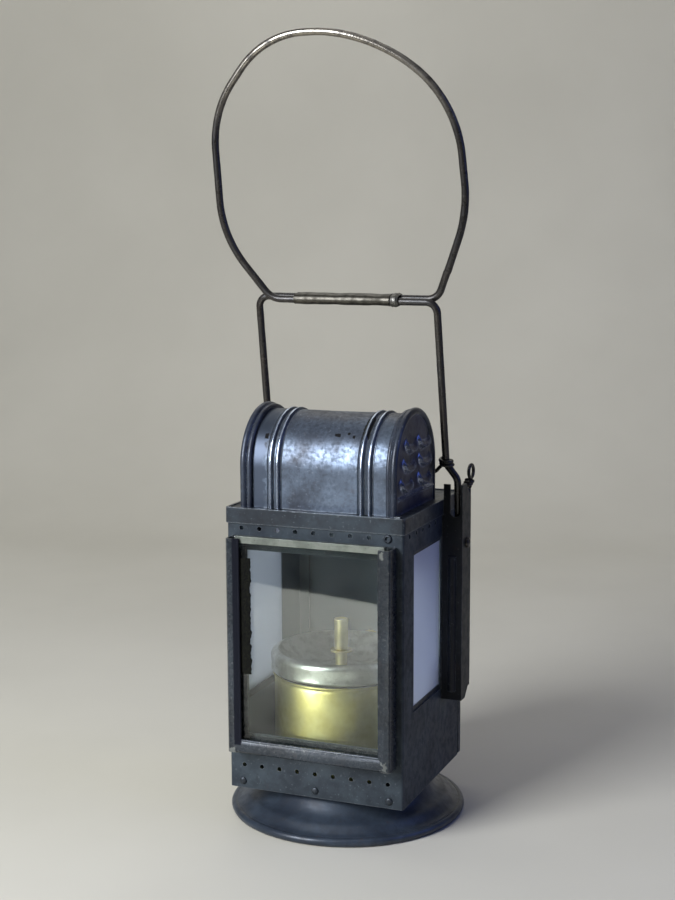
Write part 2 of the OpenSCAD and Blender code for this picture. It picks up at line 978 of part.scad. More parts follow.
foot_dish();
body_shell();
body_floor();
front_channel();
front_glass();
glass_binding();
left_opal_pane();
right_opal_pane();
glass_packing();
left_pane_holder();
right_pane_holder();
cap();
hood_barrel();
hood_left_cap();
hood_right_cap();
smoke_baffle();
body_rivets();
left_bail_ear();
right_bail_ear();
bail_wire();
grip_sleeve();
grip_splice();
bail_tie_wire();
rear_door();
door_pull();
door_knuckles();
body_knuckles();
hinge_pin();
generator_seat();
carbide_canister();
lid_gasket();
generator_lid();
water_cup();
drip_tube();
drip_valve();
carbide_basket();
felt_filter();
burner_tube();
burner_washer();
burner_tip();
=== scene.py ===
"""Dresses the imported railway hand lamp: smooth spun and bent pieces in place of the plain solids, worn
finishes on every piece, a pale studio floor, lights, and the camera at the photograph's viewing angle."""

import json
import math

import bmesh
import bpy
import numpy as np
from mathutils import Matrix, Vector


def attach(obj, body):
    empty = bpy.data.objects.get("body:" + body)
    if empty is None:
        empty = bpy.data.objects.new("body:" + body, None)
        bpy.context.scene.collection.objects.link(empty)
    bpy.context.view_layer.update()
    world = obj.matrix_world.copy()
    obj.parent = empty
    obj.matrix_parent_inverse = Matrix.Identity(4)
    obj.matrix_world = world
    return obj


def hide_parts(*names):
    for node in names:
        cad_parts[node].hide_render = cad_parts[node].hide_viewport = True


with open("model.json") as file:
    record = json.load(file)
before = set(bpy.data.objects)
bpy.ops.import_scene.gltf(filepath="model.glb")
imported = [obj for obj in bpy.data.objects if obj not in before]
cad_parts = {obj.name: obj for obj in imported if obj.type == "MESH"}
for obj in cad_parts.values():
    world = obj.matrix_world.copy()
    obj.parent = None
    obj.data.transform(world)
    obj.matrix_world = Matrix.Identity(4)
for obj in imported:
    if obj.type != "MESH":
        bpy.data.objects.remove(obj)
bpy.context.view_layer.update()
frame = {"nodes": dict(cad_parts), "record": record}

MM = 0.001
NODES = frame["nodes"]
BODY_OF = {n: b for b, names in frame["record"]["behaviour"]["bodies"].items() for n in names}
SLOT_OF = {part["node"]: part["material_slot"] for part in frame["record"]["subparts"]}

# Sizes shared with the solids, in millimetres: the body's underside and the cap's plate, the hood's
# middle, arch and beads, the bail's pivot, the generator's axis and the hinge's
BODY_Z, CAP_Z = 19.5, 174.0
HOOD_Y, SPRING_Z, BARREL_R = -12.5, 195.5, 28.5
BEAD_X, LEFT_IN = (-26.8, -22.8, 24.6, 29.2), 1.2
PIVOT_Y, PIVOT_Z, LEAN, WIRE_R = 22.6, 150.0, 10.0, 2.0
GEN_X, GEN_Y = -1.6, -5.0
HINGE_X, HINGE_Y = 53.0, 49.8
HOOD_BASE = CAP_Z + 0.1


# Shapes

def unit(v):
    return v / np.linalg.norm(v, axis=-1, keepdims=True)


def eased(t):
    """0 below 0, 1 above 1, and a soft S between them."""
    t = np.clip(t, 0, 1)
    return t * t * (3 - 2 * t)


def arc(x, y, r, start, end, n):
    """Points of a circle about (x, y), evenly spaced by angle from start to end in degrees."""
    a = np.radians(np.linspace(start, end, n))
    return np.stack([x + r * np.cos(a), y + r * np.sin(a)], 1)


def path(*pieces):
    """Short paths and single points, one after another."""
    return np.vstack([np.atleast_2d(np.asarray(p, float)) for p in pieces])


def beside(line, t):
    """A flat path moved to its left by t, with mitred corners."""
    d = unit(np.diff(line, axis=0))
    n = np.stack([-d[:, 1], d[:, 0]], 1)
    a, b = np.vstack([n[:1], n]), np.vstack([n, n[-1:]])
    return line + t * (a + b) / (1 + (a * b).sum(1))[:, None]


def walled(line, t):
    """Closed section of a sheet of thickness t that lies on the left of its path."""
    return np.vstack([line, beside(line, t)[::-1]])


def even(line, step):
    """The same path with a point at every step of its length."""
    s = np.concatenate([[0], np.cumsum(np.linalg.norm(np.diff(line, axis=0), axis=1))])
    t = np.linspace(0, s[-1], max(3, int(round(s[-1] / step)) + 1))
    return np.stack([np.interp(t, s, line[:, k]) for k in range(line.shape[1])], 1)


def softened(line):
    """A path smoothed over nine points by bell-shaped weights, its ends held."""
    weights = np.exp(-np.linspace(-2, 2, 9) ** 2)
    weights = weights / weights.sum()
    return np.stack([np.convolve(np.pad(axis, 4, "edge"), weights, "valid") for axis in line.T], 1)


def grid(p, round_i=False, round_j=False):
    """Faces of a grid of points p[i, j], joined end to start where asked. A path along i with its
    outside on the right, carried along j to the left, faces outwards."""
    m, n = p.shape[:2]
    here = np.arange(m * n).reshape(m, n)
    along_j = np.roll(here, -1, 1)
    along_i = np.roll(here, -1, 0)
    across = np.roll(along_j, -1, 0)
    i, j = (m if round_i else m - 1), (n if round_j else n - 1)
    faces = np.stack([here, along_j, across, along_i], -1)[:i, :j].reshape(-1, 4)
    return p.reshape(-1, 3), faces


def around(section, n, dent=None):
    """A section of (radius, height) turned about its axis in n steps, as two places across the axis
    and one along it. dent adds to the radius as a function of the angle and the height."""
    a = np.linspace(0, 2 * np.pi, n, endpoint=False)[None, :]
    r, h = section[:, :1] + 0 * a, section[:, 1:] + 0 * a
    if dent is not None:
        r = r + dent(a, h) * (r > 1)
    return r * np.cos(a), r * np.sin(a), h


def lathe(section, n, x=0.0, y=0.0, dent=None):
    """A closed section of (radius, height) turned about the upright line through (x, y)."""
    right, back, z = around(section, n, dent)
    return grid(np.stack([x + right, y + back, z], -1), True, True)


def tube(line, r, up, sides):
    """A round wire along a path: at each point a circle square to the path, counted from the
    direction up, with both ends rounded over in three shrinking rings."""
    t = unit(np.gradient(line, axis=0))
    up = np.asarray(up, float)
    n = unit(up - (t @ up)[:, None] * t)
    b = np.cross(t, n)
    a = np.linspace(0, 2 * np.pi, sides, endpoint=False)[None, :, None]
    r = np.broadcast_to(np.asarray(r, float), (len(line),))[:, None, None]
    p = line[:, None] + r * (np.cos(a) * n[:, None] + np.sin(a) * b[:, None])
    shrunk, bulge = np.array([0.92, 0.6, 0.0])[:, None, None], 0.35
    ends = []
    for at, way in ((0, -1), (-1, 1)):
        rings = line[at] + (p[at] - line[at]) * shrunk
        rings = rings + way * t[at] * r[at] * bulge * np.sqrt(1 - shrunk * shrunk)
        ends.append(rings[::-1] if at == 0 else rings)
    return grid(np.concatenate([ends[0], p, ends[1]]), False, True)


def route(corners, bends, step):
    """Straight lines between corner points, with an arc of the given radius at each inner corner."""
    p = np.asarray(corners, float)
    out = [p[:1]]
    for i in range(1, len(p) - 1):
        a, b = unit(p[i] - p[i - 1]), unit(p[i + 1] - p[i])
        turn = math.acos(max(-1.0, min(1.0, float(a @ b))))
        start = p[i] - a * bends[i] * math.tan(turn / 2)
        centre = p[i] + unit(b - a) * bends[i] / math.cos(turn / 2)
        inward = unit(centre - start)
        t = np.linspace(0, turn, max(4, int(bends[i] * turn / step) + 2))[:, None]
        out.append(centre + bends[i] * (a * np.sin(t) - inward * np.cos(t)))
    out.append(p[-1:])
    return even(np.vstack(out), step)


def on_bail(p):
    """Points drawn upright from the bail's pivot, leant forward and put on the pivot."""
    c, s = math.cos(math.radians(LEAN)), math.sin(math.radians(LEAN))
    return np.stack([p[..., 0], PIVOT_Y + p[..., 1] * c - p[..., 2] * s,
                     PIVOT_Z + p[..., 1] * s + p[..., 2] * c], -1)


def over_arch(section, dent=None):
    """A closed section of (place along the hood, radius) carried up the front wall, over the crown and
    down the back wall, its two feet closed. dent adds to the radius as a function of the place along
    the hood and the number of the station."""
    legs, crown = 10, 90
    a = np.radians(np.linspace(180, 0, crown))
    rise = np.linspace(HOOD_BASE, SPRING_Z, legs, endpoint=False)
    back = np.concatenate([-np.ones(legs), np.cos(a), np.ones(legs)])
    up = np.concatenate([np.zeros(legs), np.sin(a), np.zeros(legs)])
    springs_from = np.concatenate([rise, np.full(crown, SPRING_Z), rise[::-1]])
    x, r = section[:, :1] + 0 * back, section[:, 1:] + 0 * back
    if dent is not None:
        r = r + dent(x, np.cumsum(np.ones_like(x), 1))
    p = np.stack([x, HOOD_Y + r * back, springs_from + r * up], -1)
    first = p[:, :1].mean(0, keepdims=True) + 0 * p[:, :1]
    last = p[:, -1:].mean(0, keepdims=True) + 0 * p[:, -1:]
    return grid(np.concatenate([first, p, last], 1), True, False)


def waves(seed, length, count=7):
    """A soft uneven field of about one, as a sum of waves near the given length in random
    directions. It dents and bows the sheet."""
    rng = np.random.default_rng(seed)
    k = unit(rng.normal(size=(count, 3))) * (2 * np.pi / (length * rng.uniform(0.7, 1.6, (count, 1))))
    shift = rng.uniform(0, 2 * np.pi, count)
    return lambda p: np.sin(p @ k.T + shift).sum(-1) / math.sqrt(count)


# Pieces

def smooth(mesh, crease=32):
    """Shades a mesh smooth, apart from the edges that turn by more than the crease angle in degrees."""
    mesh.polygons.foreach_set("use_smooth", np.ones(len(mesh.polygons), bool))
    mesh.set_sharp_from_angle(angle=math.radians(crease))


def keep(name, mesh, finish, stands_for):
    """Puts a finished mesh in the scene, on its body, in place of the nodes it stands for."""
    piece = bpy.data.objects.new(name, mesh)
    bpy.context.scene.collection.objects.link(piece)
    mesh.materials.clear()
    mesh.materials.append(finish)
    body, slot = BODY_OF[stands_for[0]], SLOT_OF[stands_for[0]]
    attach(piece, body)
    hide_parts(*stands_for)
    return piece


def outwards(p, f):
    """The same closed shell with its faces turned outwards, as the sign of its volume tells."""
    corners = p[np.concatenate([f[:, :3], f[:, [0, 2, 3]]])]
    volume = np.einsum("ij,ij->i", corners[:, 0], np.cross(corners[:, 1], corners[:, 2])).sum()
    return p, f if volume > 0 else f[:, ::-1]


def make(name, shells, finish, node_name, crease=32):
    """A new piece from closed shells, each with its points in millimetres and its faces. The shells are
    turned outwards, and doubled points at poles and feet are merged."""
    points, faces, base = [], [], 0
    for p, f in (outwards(*shell) for shell in shells):
        points.append(p * MM)
        faces.append(f + base)
        base += len(p)
    mesh = bpy.data.meshes.new(name)
    mesh.from_pydata(np.vstack(points).tolist(), [], np.vstack(faces).tolist())
    bm = bmesh.new()
    bm.from_mesh(mesh)
    bmesh.ops.remove_doubles(bm, verts=bm.verts, dist=1e-7)
    bmesh.ops.dissolve_degenerate(bm, edges=bm.edges, dist=1e-8)
    bm.to_mesh(mesh)
    bm.free()
    smooth(mesh, crease)
    keep(name, mesh, finish, [node_name])


def dress(name, finish, round_mm):
    """A copy of a folded or cut solid with its edges rounded."""
    mesh = NODES[name].data.copy()
    bm = bmesh.new()
    bm.from_mesh(mesh)
    bmesh.ops.remove_doubles(bm, verts=bm.verts, dist=1e-6)
    bmesh.ops.dissolve_limit(bm, angle_limit=math.radians(1.0), verts=bm.verts, edges=bm.edges)
    bm.to_mesh(mesh)
    bm.free()
    smooth(mesh)
    piece = keep(name + "_dressed", mesh, finish, [name])
    bevel = piece.modifiers.new("rounded edges", "BEVEL")
    bevel.width, bevel.segments, bevel.limit_method = round_mm * MM, 2, "ANGLE"
    bevel.angle_limit = math.radians(35)
    bevel.harden_normals = True


# Finishes

def colour(code):
    """Linear colour of an sRGB hex code."""
    c = np.array([int(code[i:i + 2], 16) for i in (1, 3, 5)]) / 255
    c = np.where(c <= 0.04045, c / 12.92, ((c + 0.055) / 1.055) ** 2.4)
    return (*c.tolist(), 1.0)


def node(tree, kind, inputs=None, out=0, **settings):
    """Adds a node with its settings, links or sets each input, and gives the output of that number."""
    n = tree.nodes.new(kind)
    for k, v in settings.items():
        setattr(n, k, v)
    for k, v in (inputs or {}).items():
        if isinstance(v, bpy.types.NodeSocket):
            tree.links.new(v, n.inputs[k])
        else:
            n.inputs[k].default_value = v
    return n.outputs[out] if n.outputs else n


def blank(name):
    """A new empty material, its node tree, and the piece's own coordinates in metres."""
    m = bpy.data.materials.new(name)
    m.use_nodes = True
    m.node_tree.nodes.clear()
    return m, m.node_tree, node(m.node_tree, "ShaderNodeTexCoord", out=3)


def cloud(tree, where, size_mm, low, high, most=1.0, detail=4.0, rough=0.55):
    """A mask from noise with features of a real size: 0 below low, and the given most above high."""
    fac = node(tree, "ShaderNodeTexNoise", {"Vector": where, "Scale": 1000 / size_mm, "Detail": detail,
                                            "Roughness": rough})
    return node(tree, "ShaderNodeMapRange", {"Value": fac, "From Min": low, "From Max": high,
                                             "To Max": most}, interpolation_type="SMOOTHSTEP")


def crests(tree, radius_mm, low, high, most):
    """A mask of the piece's edges and crests, where the surface turns within the given radius."""
    rounded = node(tree, "ShaderNodeBevel", {"Radius": radius_mm * MM}, samples=6)
    face = node(tree, "ShaderNodeNewGeometry", out=1)
    flat = node(tree, "ShaderNodeVectorMath", {0: rounded, 1: face}, 1, operation="DOT_PRODUCT")
    return node(tree, "ShaderNodeMapRange", {"Value": flat, "From Min": 1 - low, "From Max": 1 - high,
                                             "To Max": most}, interpolation_type="SMOOTHSTEP")


# Real sizes of the marks on old lacquered tin. The specks and the grain are drawn several times coarser
# than real ones, so that they show.
FADING_MM, RUST_MM, SCUFF_MM, SPECK_MM, GRAIN_MM, TATTER_MM = 26, 9.0, 3.0, 1.5, 1.3, 2.2
GRIME, RUST = "#14171b", "#4a3326"


def within(tree, where, middle_mm, half_mm, ragged_mm):
    """1 inside a box, 0 outside it. Its edges wander by up to half of ragged_mm."""
    if ragged_mm:
        drift = node(tree, "ShaderNodeTexNoise", {"Vector": where, "Scale": 1000 / TATTER_MM,
                                                  "Detail": 4.0}, 1)
        where = node(tree, "ShaderNodeVectorMath", {0: drift, 1: [ragged_mm * MM] * 3, 2: where},
                     operation="MULTIPLY_ADD")
    away = node(tree, "ShaderNodeVectorMath", {0: where, 1: [(c + ragged_mm / 2) * MM for c in middle_mm]},
                operation="SUBTRACT")
    away = node(tree, "ShaderNodeVectorMath", {0: away}, operation="ABSOLUTE")
    away = node(tree, "ShaderNodeVectorMath", {0: away, 1: [h * MM for h in half_mm]}, operation="DIVIDE")
    farthest = 0.0
    for axis in range(3):
        side = node(tree, "ShaderNodeSeparateXYZ", {0: away}, axis)
        farthest = node(tree, "ShaderNodeMath", {0: farthest, 1: side}, operation="MAXIMUM")
    return node(tree, "ShaderNodeMath", {0: farthest, 1: 1.0}, operation="LESS_THAN")


def bumped(tree, layers):
    """A surface direction from heights laid over each other, each (height, depth in mm)."""
    normal = {}
    for height, deep in layers:
        normal = {"Normal": node(tree, "ShaderNodeBump", {"Height": height, "Distance": deep * MM,
                                                          "Strength": 1.0, **normal})}
    return normal["Normal"]


def lacquered_tin(name, coat, faded, metal="#8b9094", wear=0.6, fade=0.5, shine=0.42, patches=(),
                  rust=0.25, dents_mm=0.5, dent_size=38, bare=0.3, crest=0.8, grime=0.3, specks=0.2,
                  matt=0.12, mottle_mm=5.0, gloss=0.5, rubbed_and_lit_mm=None):
    """Tinplate with a thin black stoving lacquer. The lacquer is smooth and dark with a blue cast,
    faded and mottled by heat and hands, rubbed through to smoother grey metal along edges, with fine
    brown rust in patches, and the sheet under it is a little bowed. Where a pair of heights is given for
    the top, the sheet is rubbed bright from the first height up, and most at the second: worn metal that
    also stands as a painted highlight on the top. Each patch is a box with its ragged edge, tone, metal
    share and roughness: inner sides painted pale as the light inside them, a near-black matt strip on a
    lip, a corner worn bare, a highlight painted along a crest."""
    m, tree, where = blank(name)
    broad = cloud(tree, where, FADING_MM, 0.34, 0.68, fade, 5)
    mottle = cloud(tree, where, mottle_mm, 0.40, 0.66, 1.0, 6, 0.65)
    rusty = cloud(tree, where, RUST_MM, 0.60, 0.76, rust, 6, 0.7)
    worn = crests(tree, crest, 0.03, 0.22, cloud(tree, where, SCUFF_MM, 0.28, 0.62, wear, 5, 0.7))
    # The top, from the first height up, is rubbed bright: worn metal, and also a painted highlight where the
    # light falls on it
    if rubbed_and_lit_mm:
        height = node(tree, "ShaderNodeSeparateXYZ", {0: where}, 2)
        rubbed = node(tree, "ShaderNodeMapRange", {
            "Value": height, "From Min": rubbed_and_lit_mm[0] * MM, "From Max": rubbed_and_lit_mm[1] * MM,
            "To Max": cloud(tree, where, 4.0, 0.25, 0.55)})
        worn = node(tree, "ShaderNodeMath", {0: worn, 1: rubbed}, operation="MAXIMUM")
    dirt = cloud(tree, where, mottle_mm, 0.40, 0.66, grime, 6, 0.65)
    speck = cloud(tree, where, SPECK_MM, 0.63, 0.70, specks, 3, 0.6)
    skin = colour(coat)
    for amount, tone in ((broad, faded), (dirt, GRIME), (speck, metal), (rusty, RUST), (worn, metal)):
        skin = node(tree, "ShaderNodeMix", {0: amount, 6: skin, 7: colour(tone)}, 2, data_type="RGBA")
    metallic = node(tree, "ShaderNodeMapRange", {"Value": broad, "From Max": fade, "To Min": bare / 3,
                                                 "To Max": bare})
    metallic = node(tree, "ShaderNodeMix", {0: worn, 2: metallic, 3: 0.9})
    rough = node(tree, "ShaderNodeMapRange", {"Value": mottle, "To Min": shine, "To Max": shine + matt})
    rough = node(tree, "ShaderNodeMix", {0: rusty, 2: rough, 3: 0.8})
    rough = node(tree, "ShaderNodeMix", {0: worn, 2: rough, 3: 0.7 * shine})
    for middle, half, ragged, tone, bright, dull in patches:
        part = within(tree, where, middle, half, ragged)
        skin = node(tree, "ShaderNodeMix", {0: part, 6: skin, 7: colour(tone)}, 2, data_type="RGBA")
        metallic = node(tree, "ShaderNodeMix", {0: part, 2: metallic, 3: bright})
        rough = node(tree, "ShaderNodeMix", {0: part, 2: rough, 3: dull})
    bowed = node(tree, "ShaderNodeTexNoise", {"Vector": where, "Scale": 1000 / dent_size, "Detail": 1.5})
    grain = node(tree, "ShaderNodeTexNoise", {"Vector": where, "Scale": 1000 / GRAIN_MM, "Detail": 3.0})
    normal = bumped(tree, ((bowed, dents_mm), (grain, 0.025)))
    shader = node(tree, "ShaderNodeBsdfPrincipled", {"Base Color": skin, "Metallic": metallic,
                                                     "Roughness": rough, "Specular IOR Level": gloss,
                                                     "Normal": normal})
    node(tree, "ShaderNodeOutputMaterial", {0: shader})
    return m


def bare_metal(name, clean, stained, rough, size_mm, rings=False, metallic=1.0, dark="#3a352a", pits=0.35):
    """Bare sheet or wire: a metal of one colour that has dulled and stained in clouds, with small
    dark pits. Spun pieces show the faint rings of their turning, as a grain drawn out sideways."""
    m, tree, where = blank(name)
    stain = cloud(tree, where, size_mm, 0.38, 0.66, 1.0, 6, 0.6)
    skin = colour(clean)
    for amount, tone in ((stain, stained), (cloud(tree, where, 1.6, 0.60, 0.70, pits), dark)):
        skin = node(tree, "ShaderNodeMix", {0: amount, 6: skin, 7: colour(tone)}, 2, data_type="RGBA")
    turned, grain_mm = where, 2.5
    if rings:
        turned = node(tree, "ShaderNodeMapping", {"Vector": where, "Scale": (0.02, 0.02, 1.0)})
        grain_mm = 0.9
    height = node(tree, "ShaderNodeTexNoise", {"Vector": turned, "Scale": 1000 / grain_mm, "Detail": 2.0})
    dull = node(tree, "ShaderNodeMapRange", {"Value": stain, "To Min": rough[0], "To Max": rough[1]})
    shader = node(tree, "ShaderNodeBsdfPrincipled", {"Base Color": skin, "Metallic": metallic,
                                                     "Roughness": dull,
                                                     "Normal": bumped(tree, ((height, 0.028),))})
    node(tree, "ShaderNodeOutputMaterial", {0: shader})
    return m


def window_glass():
    """Old drawn window glass: clear with a grey cast, mirror-smooth, with a thin film of dust. Light
    goes straight on inside the pane, so the faces it leaves by mirror it as those it comes in by."""
    glass_index = 1.45
    m, tree, where = blank("drawn window glass")
    clear = node(tree, "ShaderNodeBsdfTransparent", {"Color": colour("#f0f4f1")})
    gloss = node(tree, "ShaderNodeBsdfGlossy", {"Color": colour("#ffffff"), "Roughness": 0.02})
    film = node(tree, "ShaderNodeBsdfDiffuse", {"Color": colour("#b9bab4")})
    dust = cloud(tree, where, 22, 0.25, 0.75, 0.03, 6, 0.65)
    seen = node(tree, "ShaderNodeMixShader", {0: dust, 1: clear, 2: film})
    leaving = node(tree, "ShaderNodeNewGeometry", out=6)
    index = node(tree, "ShaderNodeMapRange", {"Value": leaving, "To Min": glass_index,
                                              "To Max": 1 / glass_index})
    mirror = node(tree, "ShaderNodeFresnel", {"IOR": index})
    pane = node(tree, "ShaderNodeMixShader", {0: mirror, 1: seen, 2: gloss})
    node(tree, "ShaderNodeOutputMaterial", {0: pane})
    return m


def opal_glass():
    """White opal glass: milky all through, so it glows with the light behind it, with a satin face."""
    m, tree, where = blank("opal glass")
    skin = node(tree, "ShaderNodeMix", {0: cloud(tree, where, 30, 0.3, 0.7), 6: colour("#e1e5f1"),
                                        7: colour("#e9ecf6")}, 2, data_type="RGBA")
    face = node(tree, "ShaderNodeBsdfPrincipled", {"Base Color": skin, "Roughness": 0.22})
    through = node(tree, "ShaderNodeBsdfTranslucent", {"Color": colour("#eaeef9")})
    both = node(tree, "ShaderNodeMixShader", {0: 0.6, 1: face, 2: through})
    node(tree, "ShaderNodeOutputMaterial", {0: both})
    return m


def plain(name, a, b, size_mm, rough, bump_mm=0.03):
    """An unglazed or soft material: one dull colour with a grain of the given size."""
    m, tree, where = blank(name)
    grain = cloud(tree, where, size_mm, 0.3, 0.7, 1.0, 5)
    skin = node(tree, "ShaderNodeMix", {0: grain, 6: colour(a), 7: colour(b)}, 2, data_type="RGBA")
    shader = node(tree, "ShaderNodeBsdfPrincipled", {"Base Color": skin, "Roughness": rough,
                                                     "Specular IOR Level": 0.15,
                                                     "Normal": bumped(tree, ((grain, bump_mm),))})
    node(tree, "ShaderNodeOutputMaterial", {0: shader})
    return m


# What a patch looks like: how ragged its edge is in mm, its tone, metal share and roughness
# Painted light: the inner sides are painted pale blue-grey for the light inside the lamp
LIT_INSIDE = (0, "#808b94", 0.2, 0.5)
MATT_BLACK_STRIP = (0.5, "#080b16", 0.0, 1.0)
CORNER = ("#696c69", 0.7, 0.5)
DARKER_END = (14.0, "#424a56", 0.75, 0.40)
PITTED = (1.2, "#020204", 0.0, 1.0)
RUSTED = (3.5, "#1f211f", 0.2, 0.6)
# Painted highlight: a pale, smooth bright line along a crest
BEAD_HIGHLIGHT = (0.7, "#a4afc0", 0.9, 0.26)

# The body is dull blue-black, greyed in clouds, and painted pale blue-grey on its inner sides as the light
# inside it
TIN = lacquered_tin("lacquered tinplate of the body", "#2e343a", "#454e54", wear=0.5, fade=0.6, grime=0.3,
                    shine=0.42, bare=0.1, gloss=0.14, patches=[((0, 0, 97.3), (49.35, 46.35, 76.4), *LIT_INSIDE)])
# The cap is darker, with grey metal along every edge and in small specks
CAP_TIN = lacquered_tin("lacquered tinplate of the cap", "#1c2127", "#3d464d", wear=0.95, fade=0.7,
                        grime=0.5, shine=0.34, bare=0.2, gloss=0.3, metal="#9aa1a6", crest=1.3, specks=0.35)
# The door is as the body, a little glossier, with its inner side painted pale blue-grey as the light inside
DOOR_TIN = lacquered_tin("lacquered tinplate of the door", "#2c3238", "#454d54", wear=0.6, fade=0.5,
                         gloss=0.35, patches=[((0.5, 30, 92.5), (48.9, 20.8, 71.9), *LIT_INSIDE)])
# The channel has the smoothest lacquer, a near-black matt strip along the inner edge of its left lip, and
# three corners worn through to the metal
CHANNEL_TIN = lacquered_tin(
    "lacquered tinplate of the front channel", "#1e2328", "#373e45", wear=0.9, fade=0.7, metal="#9a9c97",
    specks=0.3, shine=0.24, gloss=0.35, mottle_mm=3.0, patches=[
        ((-40.6, -56, 104), (1.9, 4, 57), *MATT_BLACK_STRIP),
        ((-44.4, -57, 43.6), (2.4, 3, 1.2), 6.0, *CORNER),
        ((42.9, -57, 45.4), (1.3, 3, 2.0), 6.0, *CORNER),
        ((41.4, -57, 156.5), (1.3, 3, 1.6), 5.0, "#6a6d68", 0.6, 0.5)])
# Heat has taken most of the hood's lacquer: blue-grey metal with a darker left end, dark pits, a
# rusty spot by the right beads, and a bright line painted along each bead's crest as its highlight
HOOD_TIN = lacquered_tin("heat-dulled tinplate of the hood", "#2c323d", "#6c7887", wear=0.8, fade=0.9,
                         shine=0.36, rust=0.3, dents_mm=0.4, dent_size=30, bare=0.9, grime=0.4, matt=0.14,
                         mottle_mm=2.2, crest=1.1, metal="#aab1ba", patches=[
                             ((-34.8, HOOD_Y, 200), (4.6, 40, 40), *DARKER_END),
                             ((9, -34.2, 214), (1.5, 1, 0.7), *PITTED),
                             ((15, -33.4, 214.8), (0.8, 0.8, 0.6), *PITTED),
                             ((18.2, -34.6, 213.5), (0.7, 0.8, 0.8), *PITTED),
                             ((-31.2, -35.9, 212), (1, 1, 1.3), *PITTED),
                             ((24.5, -29, 219), (2.2, 6, 7), *RUSTED),
                             *(((b, HOOD_Y, 200), (0.5, 32, 32), *BEAD_HIGHLIGHT) for b in BEAD_X)])
# The hood's rims are darker than the barrel, with bright metal along their rolls
RIM_TIN = lacquered_tin("heat-dulled tinplate of the hood's rims", "#232833", "#4d5562", wear=0.9, fade=0.8,
                        shine=0.30, rust=0.15, bare=0.5, crest=1.6, metal="#a3abb8", grime=0.4)
# The end plates kept their lacquer: deep blue, partly their own navy and partly the blue cast of the light
# from the right painted in, with grey metal along the lips of the scoops
END_TIN = lacquered_tin("lacquered tinplate of the hood's ends", "#131b36", "#27345c", wear=0.9, fade=0.5,
                        shine=0.34, rust=0.0, dents_mm=0.45, crest=2.6, metal="#a9b3c6", grime=0.3,
                        specks=0.05, bare=0.3)
# The foot is smooth and blue-grey, brown with rust and wear along its rim
FOOT_TIN = lacquered_tin("lacquered tinplate of the foot", "#2b323c", "#4a5561", wear=0.8, fade=0.6,
                         gloss=0.4, metal="#6e6356", rust=0.4, shine=0.29, specks=0.15, crest=1.2)
# The ears, and the hinge knuckles that share their finish, are painted nearly black as painted shade, and the
# rails a plain dark grey
SHADED_EAR_TIN = lacquered_tin("lacquered tinplate of the ears", "#121519", "#20242a", wear=0.5, fade=0.4,
                        gloss=0.3, bare=0.1)
RAIL_TIN = lacquered_tin("dark tin rails", "#2b2e30", "#4a4c4b", wear=0.5, fade=0.5)
# The bail's lacquer is brown-black, and rubbed to bright steel towards the top of the loop: worn metal, and
# also a painted highlight where the light falls on the top
BAIL_STEEL = lacquered_tin("lacquered steel wire", "#211f1d", "#48433d", metal="#8d877c", wear=0.4,
                           fade=0.7, shine=0.26, rust=0.25, dents_mm=0.03, dent_size=10, bare=0.6,
                           rubbed_and_lit_mm=(370, 425))
# Small bare parts are dull greys: brown on the sleeve, uneven on the solder, bluish on the rivets and
# greenish on the glass's binding
SLEEVE_TIN = bare_metal("tarnished tin sleeve", "#54514a", "#3b3933", (0.38, 0.5), 5.0)
SOLDER = bare_metal("dull solder", "#77756f", "#4b4946", (0.4, 0.55), 3.0)
RIVET_STEEL = bare_metal("worn rivet heads", "#31373d", "#1f2429", (0.4, 0.55), 2.0, metallic=0.5)
BARE_TIN = bare_metal("bare tin strip", "#7f847c", "#62675f", (0.34, 0.46), 9.0, metallic=0.8)
# The generator is pale greenish brass under tinned sheet that has dulled to a soft grey shine
BRASS = bare_metal("tarnished spun brass", "#ece09b", "#d6c67c", (0.38, 0.48), 11.0, rings=True, pits=0.12)
TUBE_BRASS = bare_metal("tarnished brass tube", "#dccc92", "#c6b47b", (0.40, 0.48), 14.0, pits=0.05)
TINNED = bare_metal("tinned sheet, dull and stained", "#dcdbd5", "#b7b4aa", (0.29, 0.40), 8.0, rings=True,
                    dark="#5b5140")
GLASS = window_glass()
OPAL = opal_glass()
# Matt parts that give no shine: a gasket, two felts and an off-white burner tip
RUBBER = plain("black rubber", "#1c1c1d", "#29292a", 2.0, 0.8)
BLACK_FELT = plain("black felt", "#060607", "#15160f", 1.0, 0.95, 0.18)
FELT = plain("grey felt", "#8f8676", "#a89e8c", 1.2, 0.95, 0.18)
STEATITE = plain("unglazed steatite", "#cbc3ae", "#ddd6c4", 1.5, 0.6)

# Foot

FOOT_R, FOOT_ROLL, FOOT_SHEET = 65.2, 2.3, 0.85
# The dish from the roll to the flat: how far in from the rim, and how high
FOOT_RISE = [(4.2, 4.9), (4.9, 5.1), (6.0, 5.9), (7.3, 7.1), (8.6, 8.3), (9.6, 9.1), (10.8, 9.6),
             (12.4, 10.1), (14.2, 11.0), (15.8, 12.3), (17.4, 14.0), (19.0, 15.9), (20.6, 17.6),
             (22.2, 19.0)]


def foot_dent(a, z):
    """Slow out-of-round of the spun foot, up to a quarter of a millimetre."""
    return 0.12 * np.sin(2 * a + 0.6) + 0.08 * np.sin(5 * a + z * 0.1) + 0.04 * np.sin(11 * a)


def spun_foot():
    """The foot's sheet turned about the middle: a rolled rim, a dish with a stepped rib, and a flat
    under the body."""
    flat_z = BODY_Z - 0.05
    line = path([FOOT_R - FOOT_ROLL - 1.2, 0],
                arc(FOOT_R - FOOT_ROLL, FOOT_ROLL, FOOT_ROLL, 270, 470, 40),
                [(FOOT_R - inward, z) for inward, z in FOOT_RISE], [42.0, flat_z], [28, flat_z])
    make("spun_foot", [lathe(walled(line, FOOT_SHEET), 220, dent=foot_dent)], FOOT_TIN, "foot_dish")


# Hood

BARREL_HALF, BARREL_SHEET = 41.4, 0.65
